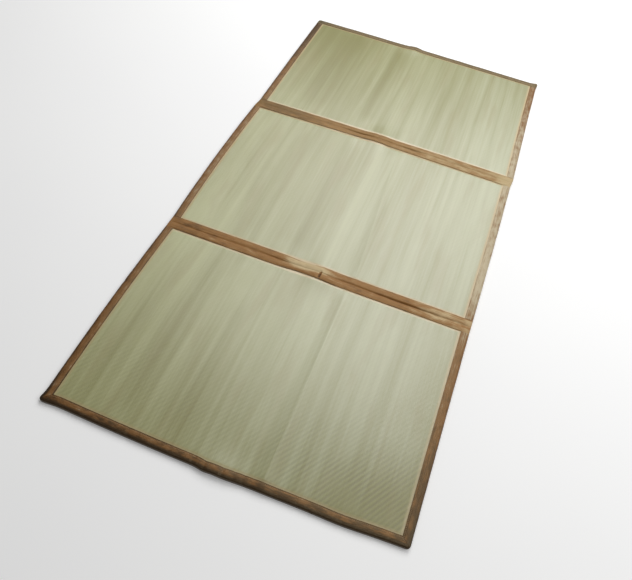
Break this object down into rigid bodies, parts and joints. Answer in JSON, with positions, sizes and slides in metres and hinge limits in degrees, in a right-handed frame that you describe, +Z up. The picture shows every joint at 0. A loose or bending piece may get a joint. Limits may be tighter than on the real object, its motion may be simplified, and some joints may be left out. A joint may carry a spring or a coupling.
{
  "type": "tatami mat",
  "caption": "Folding rush floor mat laid open and flat: woven rush panels joined by cloth fold tapes, with cloth binding round the edges.",
  "frame": {"origin": "on the floor, at the centre of the mat's footprint", "axes": "+X across the mat to its right, seen from the near end; +Y along the mat towards its far end; +Z up, out of the face that shows"},
  "size_m": [1.0056, 2.104, 0.0178],
  "materials": {
    "rush": "woven dried rush, pale green to straw, with a low natural sheen",
    "binding": "brown twill binding tape with a soft satin sheen",
    "fold_tape": "brown twill tape with a soft satin sheen, a little paler and worn at the fold",
    "under_tape": "plain brown cotton tape, matt"
  },
  "bodies": {
    "root": {"near_rush_panel": "rush", "middle_rush_panel": "rush", "far_rush_panel": "rush", "near_left_binding": "binding", "near_right_binding": "binding", "middle_left_binding": "binding", "middle_right_binding": "binding", "far_left_binding": "binding", "far_right_binding": "binding", "near_end_binding": "binding", "far_end_binding": "binding", "near_fold_tape": "fold_tape", "far_fold_tape": "fold_tape", "near_under_tape": "under_tape", "far_under_tape": "under_tape"}
  },
  "joints": []
}
